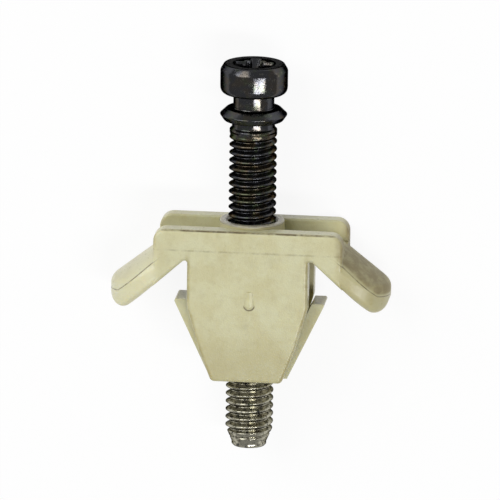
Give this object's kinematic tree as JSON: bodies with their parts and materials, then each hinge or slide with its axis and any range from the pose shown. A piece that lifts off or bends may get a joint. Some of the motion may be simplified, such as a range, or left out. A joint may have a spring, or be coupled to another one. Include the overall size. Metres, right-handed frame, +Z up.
{
  "type": "captive panel screw",
  "caption": "Captive adjusting screw with a grooved cross-recess head, held in a snap-in nylon clip with sprung finger wings.",
  "frame": {"origin": "on the floor under the screw's axis, halfway along the screw, with the clip lying on its flat back face", "axes": "+Y along the screw towards its head, +X across the wings, +Z up out of the clip's front face"},
  "size_m": [0.035, 0.049, 0.0104],
  "materials": {
    "black_steel": "gloss",
    "natural_nylon": "satin"
  },
  "bodies": {
    "clip": {"clip": "natural_nylon"},
    "screw": {"screw": "black_steel"}
  },
  "joints": [
    {"name": "screw_travel", "type": "slide", "parent": "clip", "child": "screw", "axis": [0, 1, 0], "range_m": [-0.0127, 0.0092]}
  ]
}
